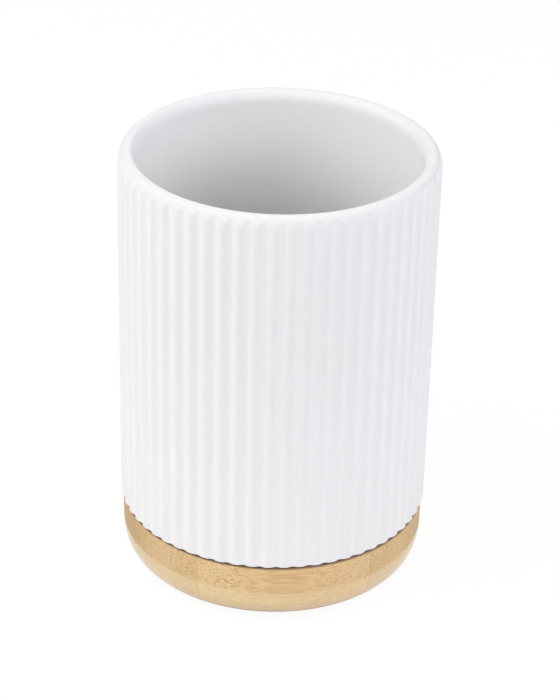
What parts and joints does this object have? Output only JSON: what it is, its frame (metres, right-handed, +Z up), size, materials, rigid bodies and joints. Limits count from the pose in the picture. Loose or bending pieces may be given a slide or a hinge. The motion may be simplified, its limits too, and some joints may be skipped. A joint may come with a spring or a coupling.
{
  "type": "bathroom tumbler",
  "caption": "Ribbed white glazed cup bonded to a round laminated bamboo base, open at the top to hold toothbrushes or water on a washstand.",
  "frame": {"origin": "on the surface that the tumbler stands on, under the cup's axis", "axes": "+Z up along the cup's axis; -Y is the side that faces the viewer in the picture; the bamboo's grain runs 6 degrees off +X"},
  "size_m": [0.075, 0.075, 0.1073],
  "materials": {
    "white_glaze": "satin white glaze, glossier inside the cup",
    "silicone_adhesive": "translucent satin",
    "bamboo": "satin clear lacquer over fine straight grain",
    "pad_rubber": "matt"
  },
  "bodies": {
    "root": {"cup": "white_glaze", "bond_disc": "silicone_adhesive", "base_strip_1": "bamboo", "base_strip_2": "bamboo", "base_strip_3": "bamboo", "base_strip_4": "bamboo", "base_strip_5": "bamboo", "foot_pad_1": "pad_rubber", "foot_pad_2": "pad_rubber", "foot_pad_3": "pad_rubber", "foot_pad_4": "pad_rubber"}
  },
  "joints": []
}
